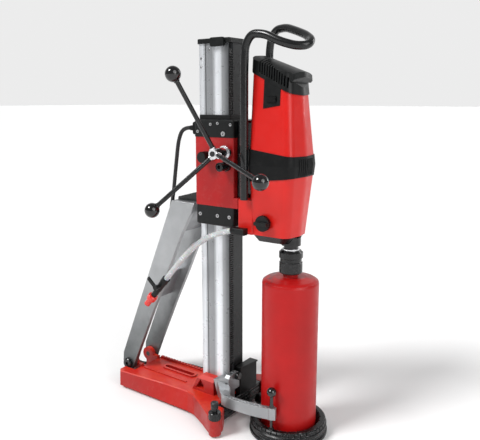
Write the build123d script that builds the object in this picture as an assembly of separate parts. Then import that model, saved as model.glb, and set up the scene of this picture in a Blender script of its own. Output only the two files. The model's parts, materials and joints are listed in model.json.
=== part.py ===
from build123d import *
from math import acos, atan2, ceil, cos, degrees, hypot, pi, radians, sin, tan
import os

# A core drill rig: a stand with a toothed rail, a carriage fed by a handwheel, and a drilling machine with a
# diamond core bit. All sizes are in millimetres. The drilling axis is the Z axis, the floor is Z = 0, the rail
# stands behind the bit on -X, and the operator's side with the handwheel is -Y.

# ---- Overall sizes
drill_offset = 229.0        # rail axis to drilling axis
rail_top = 1053.0           # height of the rail's upper end
carriage_z = 620.0          # lower edge of the carriage's red housing
fit_gap = 0.3               # gap between pieces that move past each other
running_gap = 0.05          # radial clearance of a shaft in its bore

# ---- Rail and rack
rail_depth = 101.0          # along X
rail_width = 65.0           # along Y
rail_wall = 6.5
rail_bottom = 62.0
rail_flutes = [(-27, 14, 1.4), (6.5, 13.5, 1.4), (38, 23, 2.0)]     # place, width and depth on each side face
rail_screws = [(-15, 1033), (-42, 1012), (-42, 990)]    # on the near side, X and Z
rail_screw_radius = 3.2
rail_screw_head = 1.6
rail_screw_sink = 0.4        # their heads stay below the rail's surface, so that the carriage passes
rack_module = 2.0
rack_y = -22.0              # middle of the rack
rack_width = 16.0
rack_pitch_line = 51.0      # ahead of the rail axis
rack_back = 42.5
rack_foot_z = 150.0
rack_head_z = 1035.0

# ---- Gears
pressure_angle = radians(25)
tooth_addendum = 0.8        # in modules
tooth_dedendum = 1.05       # in modules
tooth_backlash = 0.3
pinion_teeth = 13
transfer_module = 1.5
transfer_teeth = 24
drive_module = 2.0
motor_pinion_teeth = 12
spindle_gear_teeth = 30

# ---- Base
base_rear = -345.0
base_half_width = 105.0
base_under = 10.0           # height of the casting's lower edge
base_top = 58.0
base_deck = 12.0
base_rim = 2.5              # bevel round the deck
base_hollow = 82.0          # half width of the hollow under the deck
base_far_lean = 40.0        # how much further in the hollow stops on the far side
# Sides of the casting from the rear to the front: at its foot, and at its deck on the near and far sides
base_foot_side = [(-345, -93), (-333, -105), (-160, -105), (-50, -106), (-20, -112), (30, -137), (74, -162),
                  (96, -160), (102, -148), (97, -128), (78, -97), (52, -97)]
base_near_side = [(-345, -91), (-333, -103), (-160, -87), (-68, -84), (-40, -91), (14, -122), (64, -154),
                  (90, -158), (98, -146), (94, -128), (78, -97), (52, -97)]
base_far_side = [(-345, -50), (-333, -58), (-160, -60), (-68, -64), (-40, -80), (14, -120), (64, -154),
                 (90, -158), (98, -146), (94, -128), (78, -97), (52, -97)]
seat_front = -300.0         # recess for the brace's feet
seat_half_width = 70.0
seat_floor = 24.0
rear_foot = (-322.0, 56.0)
foot_x = 86.0
foot_y = 150.0
foot_radius = 17.0
foot_top = 50.0
level_screw_radius = 6.0
level_knob_radius = 17.0
slot_length = 118.0         # anchor slot
slot_width = 15.0
slot_x = -176.0
slot_y = 5.0
hump_top = 108.0
hump_half_width = 61.0
hump_front = 12.0
crossbar_depth = 19.0
crossbar_half_width = 97.0

# ---- Brace
brace_leg_thickness = 13.0
brace_outer_y = 58.0
brace_top_z = 620.0
brace_foot_x = -340.0        # lower pivot
brace_foot_z = 66.0

# The brace's side outline: rear edge and front edge, X from the rail's axis
brace_outline = [(-138, brace_top_z), (-363, 98), (-366, 68), (-354, 48), (-334, 44), (-318, 58), (-288, 128),
                 (-224, 268), (-166, 387), (-100, 530), (-66, 590), (-54, brace_top_z)]

# ---- Collector
core_radius = 76.0
ring_radius = core_radius + 30.0
ring_height = 42.0
ring_inner = core_radius + 8.0
ring_lip_radius = core_radius + 2.6
holder_arm_centre = (125.0, 250.0)
holder_arm_radius = 367.0
holder_arm_width = 14.0
holder_arm_low = 74.0
holder_arm_high = 105.0
holder_screws = [(44, 96), (60, 108)]
clamp_pin_x = 233.0
clamp_pin_radius = 4.0
clamp_ball_radius = 13.0
nozzle_angle = 25.0         # vacuum nozzle's direction, from straight back towards the far side
nozzle_z = 21.5
nozzle_radius = 17.5
nozzle_length = 48.0

# ---- Core bit, chuck and spindle
core_wall = 3.0
core_shoulder = 434.0
core_crown = 444.0
segment_height = 10.0
segment_count = 12
segment_radius = core_radius + 1.5
chuck_radius = 32.0
chuck_bottom = 453.0
chuck_groove = 486.0
chuck_top = 517.0
sleeve_bore = 24.0
spindle_radius = 19.0
spindle_shoulder = 545.0
spindle_top = 716.0

# ---- Carriage
carriage_rear = -45.0
carriage_front = 86.0
carriage_half_width = 60.0
carriage_height = 186.0
carriage_cap_height = 46.0
carriage_skirt_height = 54.0
rail_clearance = 1.2
shaft_x = 64.0
shaft_height = 148.0        # handwheel axis above the carriage's lower edge
shaft_radius = 8.0
gland_y = -46.0             # where the power cord leaves the carriage
gland_z = carriage_z + 208
gland_sleeve = 24.0         # length of the gland with its sleeve

# ---- Handwheel
hub_radius = 14.5
hub_outer = -122.0
arm_radius = 6.0
ball_radius = 20.0
ball_reach = 206.0
ball_y = -200.0
arm_root_y = -108.0
arm_first_angle = 106.5
arm_count = 3

# ---- Drilling machine
tool_rear = 137.0
tool_front = 272.0
tool_half_width = 69.0
tool_wide_z = 740.0         # height at which the machine is widest
tool_side_taper = 0.075
tool_front_taper = 0.09
tool_corner = 24.0
tool_bottom = 556.0
tool_wall = 4.0
gear_z = 670.0
gear_width = 20.0
selector_x = 183.0          # gear selector
selector_z = 592.0
switch_rear = 187.0
switch_front = 213.0
switch_low = 897.0
switch_high = 911.0
switch_travel = 2.0
switch_stem_radius = 3.0
crown_radius = 130.0        # of the vent cap's roof
band_proud = 2.0
cap_proud = 2.5
motor_axis_x = drill_offset - drive_module * (motor_pinion_teeth + spindle_gear_teeth) / 2

# ---- Handle
handle_radius = 10.3
handle_end_z = 852.0        # the far end stands on the mount plate
handle_route = [(131, -76, 650), (131, -76, 985), (134, -76, 1036), (152, -75, 1062), (190, -74, 1059),
                (230, -71, 1040), (268, -60, 1029), (291, -42, 1030), (287, -18, 1044), (262, 0, 1058),
                (225, 18, 1071), (182, 37, 1084), (146, 47, 1082), (129, 49, 1062), (123, 50, 1030),
                (123, 50, handle_end_z)]

# ---- Cords
hose_radius = 8.0
cord_radius = 5.5
coil_centre = (80, 254)
coil_mid_radius = 61.0
coil_thickness = 36.0
coil_height = 40.0
hose_y = -85.0
hose_route = [(98, 566), (58, 557), (-10, 523), (-66, 474), (-106, 431), (-140, 392)]
# The power cord: out of the gland, down behind the near leg of the brace, off the base and along the floor
cord_route = [(carriage_rear - 2 - gland_sleeve, gland_y, gland_z), (-98, -46, 828), (-117, -45, 796),
              (-127, -43, 745), (-138, -40, 690), (-150, -36, 632), (-164, -32, 585), (-180, -28, 530),
              (-193, -25, 482), (-208, -22, 436), (-228, -21, 388), (-253, -21, 328), (-279, -21, 266),
              (-304, -22, 208), (-330, -22, 152), (-360, -14, 104), (-382, 6, 56), (-386, 36, 18),
              (-372, 76, 5.6), (-330, 116, 5.6), (-270, 140, 5.6), (-205, 144, 5.6), (-140, 152, 5.6),
              (-75, 168, 5.6), (-12, 188, 5.6), (40, 193, 5.6),
              (coil_centre[0] - 6, coil_centre[1] - coil_mid_radius - coil_thickness / 2 + 12, 8)]
clip_stretches = (8, 12)    # stretches of the cord that the clips hold

os.makedirs("parts", exist_ok=True)


def ahead(x):
    """X of a place x millimetres ahead of the rail's axis."""
    return x - drill_offset


def block(x0, x1, y0, y1, z0, z1):
    """A box between two corners, its X measured from the rail's axis."""
    return Pos((ahead(x0) + ahead(x1)) / 2, (y0 + y1) / 2, (z0 + z1) / 2) * Box(x1 - x0, y1 - y0, z1 - z0)


def rod(start, direction, radius, length):
    """A cylinder from a start point, its X measured from the rail's axis."""
    plane = Plane(origin=(ahead(start[0]), start[1], start[2]), z_dir=direction)
    return plane * Cylinder(radius, length, align=(Align.CENTER, Align.CENTER, Align.MIN))


def tube(start, direction, outer, inner, length):
    return rod(start, direction, outer, length) - rod(start, direction, inner, length)


def plate_y(points, y0, y1):
    """An outline in X and Z, X measured from the rail's axis, thickened from y0 to y1."""
    outline = Polyline(*[(ahead(x), 0, z) for x, z in points], close=True)
    face = make_face(outline.edges())
    return extrude(Pos(0, y0, 0) * face, amount=y1 - y0, dir=(0, 1, 0))


def plate_z(points, z0, z1, corner=0.0):
    """An outline in X and Y, X measured from the rail's axis, thickened from z0 to z1."""
    face = make_face(Polyline(*[(ahead(x), y, z0) for x, y in points], close=True).edges())
    if corner:
        face = fillet(face.vertices(), corner)
    return extrude(face, amount=z1 - z0, dir=(0, 0, 1))


def turned(profile, x=0.0, y=0.0):
    """A profile of (radius, height) turned about a vertical axis at x, y of the row's own frame."""
    face = make_face(Polyline(*[(r, 0, z) for r, z in profile], close=True).edges())
    return Pos(x, y, 0) * revolve(face, Axis.Z)


def group(solids):
    return Compound(children=list(solids))


def mirrored(solid):
    """The same piece on the far side."""
    return mirror(solid, about=Plane.XZ)


def involute(angle):
    return tan(angle) - angle


def gear(module, teeth, width, bore, phase=0.0):
    """A spur gear on the Z axis, standing on Z = 0, with a tooth centred on the angle phase."""
    pitch_radius = module * teeth / 2
    base_radius = pitch_radius * cos(pressure_angle)
    tip_radius = pitch_radius + tooth_addendum * module
    root_radius = pitch_radius - tooth_dedendum * module
    half_tooth = (pi / 2 - tooth_backlash / module / 2) / teeth
    flank_start = max(base_radius, root_radius)
    flank = []
    for step in range(5):
        radius = flank_start + (tip_radius - flank_start) * step / 4
        lean = involute(pressure_angle) - involute(acos(min(1.0, base_radius / radius)))
        flank.append((radius, half_tooth + lean))
    if root_radius < flank_start:
        flank.insert(0, (root_radius, flank[0][1]))
    points = []
    for tooth in range(teeth):
        middle = phase + 2 * pi * tooth / teeth
        points += [(r * cos(middle - half), r * sin(middle - half)) for r, half in flank]
        points += [(r * cos(middle + half), r * sin(middle + half)) for r, half in reversed(flank)]
    blank = extrude(make_face(Polyline(*points, close=True).edges()), amount=width)
    if bore:
        blank -= Cylinder(bore, width, align=(Align.CENTER, Align.CENTER, Align.MIN))
    return blank


def cross_gear(module, teeth, width, bore, x, y, z, phase=0.0):
    """A gear with its axis along Y: it reaches from y towards -Y, and phase is measured from +X towards +Z."""
    plane = Plane(origin=(ahead(x), y, z), x_dir=(1, 0, 0), z_dir=(0, -1, 0))
    return plane * gear(module, teeth, width, bore, phase)


def socket_screw(start, direction, radius, length):
    """A cap screw with a hexagon socket: start is the outer face of its head."""
    head = rod(start, direction, radius, length)
    plane = Plane(origin=(ahead(start[0]), start[1], start[2]), z_dir=direction)
    socket = plane * extrude(RegularPolygon(radius * 0.5, 6), amount=radius * 0.6)
    return head - socket


def knurled(start, direction, radius, length, flutes=16, depth=1.2):
    """A round knob with grooves along its rim."""
    plane = Plane(origin=(ahead(start[0]), start[1], start[2]), z_dir=direction)
    knob = Cylinder(radius, length, align=(Align.CENTER, Align.CENTER, Align.MIN))
    knob = chamfer(knob.edges().filter_by(GeomType.CIRCLE), 1.2)
    groove = Cylinder(depth, length, align=(Align.CENTER, Align.CENTER, Align.MIN))
    cutters = [Pos(radius * cos(a), radius * sin(a), 0) * groove for a in
               [2 * pi * i / flutes for i in range(flutes)]]
    return plane * (knob - cutters)


# ---- Stand

def rail_outline(grow=0.0):
    return Pos(ahead(0), 0) * RectangleRounded(rail_depth + 2 * grow, rail_width + 2 * grow, 3 + grow)


def rail():
    half_depth = rail_depth / 2
    half_width = rail_width / 2
    height = rail_top - rail_bottom
    body = Pos(0, 0, rail_bottom) * extrude(rail_outline(), amount=height)
    middle_z = (rail_bottom + rail_top) / 2
    cuts = []
    for side in (-1, 1):
        for x, width, depth in rail_flutes:
            radius = (width**2 / 4 + depth**2) / (2 * depth)
            centre = side * (half_width + radius - depth)
            cuts.append(Pos(ahead(x), centre, middle_z) * Cylinder(radius, height))
    cuts.append(Pos(ahead(-half_depth), 0, middle_z) * Box(14, 11, height))
    rack_depth = half_depth - rack_back
    cuts.append(Pos(ahead(half_depth - rack_depth / 2), rack_y, middle_z) * Box(rack_depth, rack_width, height))
    for x0, x1 in ((-half_depth + 13, -18), (-13, 7), (12, rack_back - 5)):
        cuts.append(block(x0, x1, -half_width + rail_wall, half_width - rail_wall, rail_bottom, rail_top))
    for x, z in rail_screws:
        pocket_depth = 1 + rail_screw_sink + rail_screw_head
        cuts.append(rod((x, -half_width - 1, z), (0, 1, 0), rail_screw_radius + fit_gap, pocket_depth))
    return body - cuts


def gear_rack():
    pitch = pi * rack_module
    root = rack_pitch_line - tooth_dedendum * rack_module
    tip = rack_pitch_line + tooth_addendum * rack_module
    half_pitch_tooth = (pitch / 2 - tooth_backlash / 2) / 2
    half_root = half_pitch_tooth + tooth_dedendum * rack_module * tan(pressure_angle)
    half_tip = half_pitch_tooth - tooth_addendum * rack_module * tan(pressure_angle)
    shaft_z = carriage_z + shaft_height
    first = ceil((rack_foot_z + pitch - shaft_z) / pitch)
    last = int((rack_head_z - pitch - shaft_z) / pitch)
    points = [(rack_back, rack_foot_z), (root, rack_foot_z)]
    for tooth in range(first, last):
        middle = shaft_z + (tooth + 0.5) * pitch
        points += [(root, middle - half_root), (tip, middle - half_tip)]
        points += [(tip, middle + half_tip), (root, middle + half_root)]
    points += [(root, rack_head_z), (rack_back, rack_head_z)]
    return plate_y(points, rack_y - rack_width / 2, rack_y + rack_width / 2)


def rail_end_cap():
    top = Pos(0, 0, rail_top) * extrude(rail_outline(4), amount=10)
    top = fillet(top.faces().sort_by(Axis.Z)[-1].edges(), 3)
    skirt = Pos(0, 0, rail_top - 3) * extrude(rail_outline(4), amount=3)
    skirt -= Pos(0, 0, rail_top - 3) * extrude(rail_outline(0), amount=3)
    grip = block(-4, 40, -rail_width / 2 - 10, -rail_width / 2 - 3.9, rail_top - 12, rail_top + 11)
    grip = fillet(grip.edges().filter_by(Axis.Y), 4)
    return top + skirt + grip


def base_face(near, far, z):
    """A level face whose near and far sides are both listed from the rear to the front."""
    points = near + [(x, -y) for x, y in reversed(far)]
    return make_face(Polyline(*[(ahead(x), y, z) for x, y in points], close=True).edges())


def base_plate():
    """A casting with leaning sides, flared out to the two front feet, with a recess at the rear for the brace."""
    under = base_face(base_foot_side, base_foot_side, base_under)
    deck = base_face(base_near_side, base_far_side, base_top - base_rim)
    rim = Pos(0, 0, base_rim) * offset(deck, -base_rim, kind=Kind.INTERSECTION)
    casting = loft([under, deck, rim.faces()[0]], ruled=True)
    foot = rod((foot_x, -foot_y, base_under - 4), (0, 0, 1), foot_radius, foot_top + 4 - base_under)
    knob_room = rod((foot_x, -foot_y, foot_top), (0, 0, 1), level_knob_radius + 3, base_top)
    casting -= [knob_room, mirrored(knob_room)]
    casting += [foot, mirrored(foot)]
    for x0, x1 in ((-286, -190), (-180, -96), (-84, 40)):
        casting -= block(x0, x1, -base_hollow, base_hollow - base_far_lean, base_under - 5, base_top - base_deck)
    hump_side = [(-70, base_top - 3), (-50, hump_top - 14), (-38, hump_top), (hump_front, hump_top),
                 (hump_front, base_top - 3)]
    hump = plate_y(hump_side, -hump_half_width, hump_half_width)
    hump = chamfer(hump.edges().filter_by(Axis.X).sort_by(Axis.Z)[-2:], 10)
    casting += hump
    half_depth = rail_depth / 2
    pocket_front = 60.0
    casting -= block(-half_depth, pocket_front, -rail_width / 2, rail_width / 2, rail_bottom, hump_top + 5)
    window = plate_y([(-56, 66), (-22, 66), (-26, 82), (-37, 96)], -hump_half_width - 2, -hump_half_width + 18)
    casting -= [window, mirrored(window)]
    place = Pos(ahead(slot_x), slot_y, base_top - 1)
    casting += place * extrude(SlotOverall(slot_length + 14, slot_width + 14), amount=5)
    casting -= place * extrude(SlotOverall(slot_length, slot_width), amount=60, both=True)
    ledge = block(base_rear + 50, -96, 44, 53, base_top - 1, base_top + 6)
    notches = [block(x, x + 4, 43, 54, base_top + 3.5, base_top + 7) for x in range(-284, -104, 12)]
    casting += ledge - notches
    casting += block(base_rear + 60, -110, -44, -38, base_top - 1, base_top + 3)
    casting -= block(base_rear - 1, seat_front, -seat_half_width, seat_half_width, seat_floor, base_top + 9)
    for side in (-1, 1):
        lug_y = side * (brace_outer_y - brace_leg_thickness - 8)
        lug = rod((brace_foot_x, lug_y - 7, brace_foot_z), (0, 1, 0), 22, 14)
        lug += block(brace_foot_x - 8, seat_front + 2, lug_y - 7, lug_y + 7, seat_floor - 2, brace_foot_z)
        casting += lug
    casting -= rod((brace_foot_x, -base_half_width, brace_foot_z), (0, 1, 0), 8, 2 * base_half_width)
    screw_hole = rod((foot_x, -foot_y, 0), (0, 0, 1), level_screw_radius + running_gap, base_top)
    return casting - [screw_hole, mirrored(screw_hole)]


def front_crossbar():
    bar = block(52, 52 + crossbar_depth, -crossbar_half_width, crossbar_half_width, 12, base_top - 1)
    bar = fillet(bar.edges().filter_by(Axis.Y), 3)
    grooves = [block(69, 80, -88, 88, z, z + 4) for z in (22, 34, 46)]
    return bar - grooves


def level_screw(side):
    screw = rod((foot_x, side * foot_y, 3), (0, 0, 1), level_screw_radius, foot_top)
    tip = turned([(0, 0), (4, 0), (level_screw_radius, 3), (0, 3)], ahead(foot_x), side * foot_y)
    lower = knurled((foot_x, side * foot_y, foot_top + fit_gap), (0, 0, 1), level_knob_radius, 22)
    neck = rod((foot_x, side * foot_y, foot_top + 20), (0, 0, 1), 8, 14)
    upper = knurled((foot_x, side * foot_y, foot_top + 32), (0, 0, 1), level_knob_radius - 6.5, 18, 12, 0.9)
    return screw + tip + lower + neck + upper


def rear_feet():
    x, half = rear_foot
    feet = []
    for y in (-half, half):
        foot = rod((x, y, 0), (0, 0, 1), 12, base_under)
        feet.append(chamfer(foot.edges().sort_by(Axis.Z)[0], 2))
    return group(feet)


def rail_foot_block():
    body = plate_z([(53, -8), (70, -8), (79, 64), (53, 64)], base_top, 138)
    lid = plate_z([(53, -9), (72, -9), (81, 66), (53, 66)], 138, 142)
    return fillet(body.edges().filter_by(Axis.Z), 2) + lid


def holder_arm(low, high, inset=0.0):
    """The curved arm beside the collector, a bar bent to a large arc."""
    centre = Pos(ahead(holder_arm_centre[0]), holder_arm_centre[1])
    start = degrees(atan2(-holder_arm_centre[1] - 112, 90 - holder_arm_centre[0]))
    end = degrees(atan2(-holder_arm_centre[1] - 95, 246 - holder_arm_centre[0]))
    arcs = []
    for radius in (holder_arm_radius - inset, holder_arm_radius - holder_arm_width + inset):
        arcs.append(centre * CenterArc((0, 0), radius, start, end - start))
    sides = [Line(arcs[0] @ 0, arcs[1] @ 0), Line(arcs[0] @ 1, arcs[1] @ 1)]
    return Pos(0, 0, low) * extrude(make_face((arcs + sides)), amount=high - low)


def clamp_pin_y():
    reach = holder_arm_radius - holder_arm_width / 2
    return holder_arm_centre[1] - (reach**2 - (clamp_pin_x - holder_arm_centre[0])**2)**0.5


def collector_holder():
    half_width = rail_width / 2
    front = block(53, 68, -62, -10, 84, 134)
    front = chamfer(front.edges().filter_by(Axis.X).sort_by(Axis.Z)[-2:], 8)
    cheek = plate_y([(14, 112), (30, 60), (68, 60), (68, 126), (52, 126)], -62, -half_width - 0.6)
    root = Plane(origin=(ahead(48), -62, 90), z_dir=(0, -1, 0)) * Rectangle(40, 44)
    end = Plane(origin=(ahead(97), -113, (holder_arm_low + holder_arm_high) / 2), z_dir=(0, -1, 0)) * Rectangle(
        16, holder_arm_high - holder_arm_low)
    web = loft([root, end])
    inner = block(68, 99, -112, -58, holder_arm_low, holder_arm_high)
    inner &= plate_z([(60, -58), (72, -58), (99, -100), (99, -112), (80, -112)], holder_arm_low, holder_arm_high)
    arm = holder_arm(holder_arm_low, holder_arm_high)
    body = front + cheek + web + inner + arm
    boss = rod((clamp_pin_x, clamp_pin_y(), holder_arm_low), (0, 0, 1), 10, holder_arm_high - holder_arm_low + 2)
    body += boss
    body -= holder_arm(holder_arm_high - 3, holder_arm_high + 3, 4.5)
    body += rod((clamp_pin_x, clamp_pin_y(), holder_arm_high - 4), (0, 0, 1), 10, 6)
    body -= rod((clamp_pin_x, clamp_pin_y(), 0), (0, 0, 1), clamp_pin_radius + running_gap, 200)
    for x, z in holder_screws:
        body -= rod((x, -62, z), (0, 1, 0), 5.6, 8)
    body -= rod((61, -40, 134), (0, 0, -1), 5, 8)
    body -= rod((61, -24, 134), (0, 0, -1), 5, 8)
    return body


def collector_pin():
    x, y = ahead(clamp_pin_x), clamp_pin_y()
    foot_z = ring_height + fit_gap
    profile = [(0, foot_z), (8, foot_z), (8, foot_z + 4), (clamp_pin_radius, foot_z + 7),
               (clamp_pin_radius, holder_arm_high + 3), (6, holder_arm_high + 3), (4.8, holder_arm_high + 12),
               (4.8, holder_arm_high + 38), (0, holder_arm_high + 38)]
    ball = Pos(x, y, holder_arm_high + 45) * Sphere(clamp_ball_radius)
    return turned(profile, x, y) + ball


def stand_screws():
    screws = [socket_screw((x, -58, z), (0, 1, 0), 5.5, 4) for x, z in holder_screws]
    cap = rod((68, -22, 122), (1, 0, 0), 11, 10)
    screws.append(fillet(cap.edges().sort_by(Axis.X)[-1], 3))
    for x in (-34, 34):
        screws.append(socket_screw((x, 0, rail_top + 12), (0, 0, -1), 4.5, 2))
    for x, z in rail_screws:
        screws.append(socket_screw((x, -rail_width / 2 + rail_screw_sink, z), (0, 1, 0), rail_screw_radius,
                                   rail_screw_head))
    return group(screws)


def collector_ring():
    r = ring_radius
    profile = [(ring_inner, 0), (r - 1, 0), (r + 2, 3), (r + 2, 9), (r - 2, 13), (r - 2, 20), (r, 22), (r, 28),
               (r - 3, 31), (r - 3, ring_height - 3), (r - 6, ring_height), (ring_inner + 4, ring_height),
               (ring_inner, ring_height - 5), (ring_lip_radius, ring_height - 12), (ring_lip_radius, 22),
               (ring_inner + 4, 18), (ring_inner + 4, 8), (ring_inner, 4)]
    body = turned(profile)
    notches = []
    for step in range(24):
        angle = 360 * step / 24
        notches.append(Rot(0, 0, angle) * Pos(ring_inner, 0, ring_height - 6) * Box(14, 4, 14))
    for step in range(40):
        notches.append(Rot(0, 0, 9 * step + 4.5) * Pos(ring_radius - 3, 0, ring_height - 4) * Box(7, 4, 14))
    body -= notches
    direction = (-cos(radians(nozzle_angle)), sin(radians(nozzle_angle)), 0)
    start = (drill_offset + (ring_radius - 8) * direction[0], (ring_radius - 8) * direction[1], nozzle_z)
    body += rod(start, direction, nozzle_radius, nozzle_length + 8)
    body -= rod(start, direction, nozzle_radius - 4, nozzle_length + 8)
    return body


def brace_legs():
    leg = plate_y(brace_outline, -brace_outer_y, -brace_outer_y + brace_leg_thickness)
    leg -= rod((brace_foot_x, -brace_outer_y, brace_foot_z), (0, 1, 0), 8, brace_leg_thickness)
    leg = chamfer(leg.faces().sort_by(Axis.Y)[0].edges(), 1.5)
    return group([leg, mirrored(leg)])


def brace_webs():
    inner = brace_outer_y - brace_leg_thickness
    head = plate_y([(-138, brace_top_z), (-170, 540), (-118, 526), (-68, 592), (-56, brace_top_z)], -inner, inner)
    head -= rod((-130, -inner, 560), (0, 1, 0), 9, 2 * inner)
    middle = plate_y([(-236, 392), (-272, 305), (-238, 297), (-196, 384)], -inner, inner)
    cable_way = plate_y([(-190, 640), (-300, 280), (-240, 280), (-140, 640)], -40, -12)
    return group([head - cable_way, middle - cable_way])


def brace_clamp():
    rear = -rail_depth / 2
    wedge = plate_y([(-140, brace_top_z), (-138, 628), (rear, 652), (rear, brace_top_z)], -27, 27)
    wedge += block(-62, rear, -27, 27, 570, 640)
    wedge += block(rear, rear + 6.5, -5, 5, 580, 645)
    wedge = wedge - block(-62.5, -54, -58, 58, 500, brace_top_z - 0.001)
    return wedge


def brace_pivot_bolts():
    bolts = []
    for side in (-1, 1):
        inner = brace_outer_y - brace_leg_thickness - 15
        head = rod((brace_foot_x, side * brace_outer_y, brace_foot_z), (0, side, 0), 17, 9)
        head = chamfer(head.edges().filter_by(GeomType.CIRCLE), 2)
        shank = rod((brace_foot_x, side * inner, brace_foot_z), (0, side, 0), 8, brace_outer_y - inner)
        socket = Plane(origin=(ahead(brace_foot_x), side * (brace_outer_y + 9), brace_foot_z),
                       z_dir=(0, -side, 0)) * extrude(RegularPolygon(7, 6), amount=6)
        bolts.append(head + shank - socket)
    bolts.append(rod((-130, -32, 560), (0, 1, 0), 9, 77))
    return group(bolts)


# ---- Carriage

def carriage_plan(low, high, rear, front, half_width, corner=0.0):
    """A U-shaped block around the rail, open at the back."""
    solid = block(rear, front, -half_width, half_width, low, high)
    if corner:
        solid = fillet(solid.edges().filter_by(Axis.Z), corner)
    inner = rail_width / 2 + rail_clearance
    rack_side = rack_width / 2 + rail_clearance
    solid -= block(rear - 1, rail_depth / 2 + rail_clearance, -inner, inner, low - 1, high + 1)
    return solid - block(0, rack_pitch_line + 3.5, rack_y - rack_side, rack_y + rack_side, low - 1, high + 1)


def shaft_z():
    return carriage_z + shaft_height


def stub_z():
    return shaft_z() - transfer_module * transfer_teeth


def carriage_housing():
    top = carriage_z + carriage_height
    body = carriage_plan(carriage_z, top, carriage_rear, carriage_front, carriage_half_width, 5)
    lug = block(carriage_front - 6, 99, -carriage_half_width, carriage_half_width, carriage_z, carriage_z + 28)
    body += fillet(lug.edges().filter_by(Axis.Z), 4)
    inner = rail_width / 2 + rail_clearance
    for side in (-1, 1):
        low_y, high_y = sorted((side * (inner + 5), side * (carriage_half_width - 4)))
        pocket = block(carriage_rear + 6, 22, low_y, high_y, carriage_z + 6, top - 6)
        body -= pocket
    tip = transfer_module * (transfer_teeth / 2 + tooth_addendum) + 1
    for z in (shaft_z(), stub_z()):
        body -= rod((shaft_x, -57, z), (0, 1, 0), tip, 14)
        body -= rod((shaft_x, -carriage_half_width - 1, z), (0, 1, 0), shaft_radius + running_gap, 24)
    pinion_tip = rack_module * (pinion_teeth / 2 + tooth_addendum) + 1
    low_y, high_y = rack_y - rack_width / 2 - 2, rack_y + rack_width / 2 + 2
    body -= rod((shaft_x, low_y, shaft_z()), (0, 1, 0), pinion_tip, high_y - low_y)
    body -= block(40, shaft_x, low_y, high_y, shaft_z() - pinion_tip, shaft_z() + pinion_tip)
    body -= rod((shaft_x, -carriage_half_width - 1, shaft_z()), (0, 1, 0), shaft_radius + running_gap, 64)
    window = block(52, carriage_front - 8, 6, 44, carriage_z + 30, top - 12)
    body -= window
    return body


def carriage_top_cap():
    low = carriage_z + carriage_height
    high = low + carriage_cap_height
    body = carriage_plan(low, high, carriage_rear - 2, carriage_front, carriage_half_width + 1, 6)
    body = chamfer(body.faces().sort_by(Axis.Z)[-1].outer_wire().edges(), 3)
    collar = carriage_plan(high, high + 12, carriage_rear + 1, 62, rail_width / 2 + 9, 3)
    recess = rod((51, -carriage_half_width - 2, low + 10), (0, 1, 0), 8, 6)
    return body + collar - recess


def carriage_bottom_cap():
    low = carriage_z - carriage_skirt_height
    body = carriage_plan(low, carriage_z, carriage_rear + 1, carriage_front - 2, carriage_half_width - 1, 5)
    return chamfer(body.faces().sort_by(Axis.Z)[0].outer_wire().edges(), 3)


def guide_shoes():
    """Sliding pads that fill the space between the carriage and the rail but for a small gap."""
    shoes = []
    inner = rail_width / 2
    for z in (carriage_z + 8, carriage_z + carriage_height - 48):
        for side in (-1, 1):
            low_y, high_y = sorted((side * (inner + fit_gap), side * (inner + rail_clearance)))
            shoes.append(block(-40, 2, low_y, high_y, z, z + 40))
        shoes.append(block(rail_depth / 2 + fit_gap, rail_depth / 2 + rail_clearance, -4, 26, z, z + 40))
    return group(shoes)


def machine_screws():
    """Visible cap screws of the carriage and the drilling machine."""
    cap_low = carriage_z + carriage_height
    face = -carriage_half_width - 1
    screws = [socket_screw((51, face, cap_low + 10), (0, 1, 0), 6.5, 5)]
    for x, z in ((-34, 14), (10, 34), (34, 37), (-28, 36), (76, 34)):
        screws.append(socket_screw((x, face - 1, cap_low + z), (0, 1, 0), 4, 1))
        screws.append(socket_screw((x, -face + 1, cap_low + z), (0, -1, 0), 4, 1))
    for x in (-30, 30, 70):
        screws.append(socket_screw((x, -carriage_half_width, carriage_z - 26), (0, 1, 0), 5, 1))
    return group(screws)


def mount_plate():
    low = carriage_z + 29
    plate = block(carriage_front, 112, -46, 46, low, carriage_z + 232)
    plate = fillet(plate.edges().filter_by(Axis.Z), 4)
    wings = block(112, tool_rear - band_proud, -40, 40, low + 12, carriage_z + 225)
    socket = block(110, tool_rear - band_proud - 1, 36, 63, handle_end_z - 70, handle_end_z)
    return plate + wings + socket


def cord_gland():
    rear = carriage_rear - 2
    base = block(rear - 7, rear, gland_y - 12, gland_y + 12, gland_z - 17, gland_z + 17)
    base = fillet(base.edges().filter_by(Axis.X), 6)
    collar = knurled((rear - 7, gland_y, gland_z), (-1, 0, 0), 9.5, 6, 12, 0.9)
    sleeve = Plane(origin=(ahead(rear - 13), gland_y, gland_z), z_dir=(-1, 0, 0)) * Cone(
        8, 6.6, gland_sleeve - 13, align=(Align.CENTER, Align.CENTER, Align.MIN))
    return base + collar + sleeve


def pinion_shaft():
    shaft = rod((shaft_x, -104, shaft_z()), (0, 1, 0), shaft_radius, 104 + rack_y + rack_width / 2 + 8)
    teeth = cross_gear(rack_module, pinion_teeth, rack_width, 0, shaft_x, rack_y + rack_width / 2, shaft_z(), pi)
    return shaft + teeth


def transfer_gear():
    return cross_gear(transfer_module, transfer_teeth, 10, shaft_radius, shaft_x, -45, shaft_z(), -pi / 2)


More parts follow.
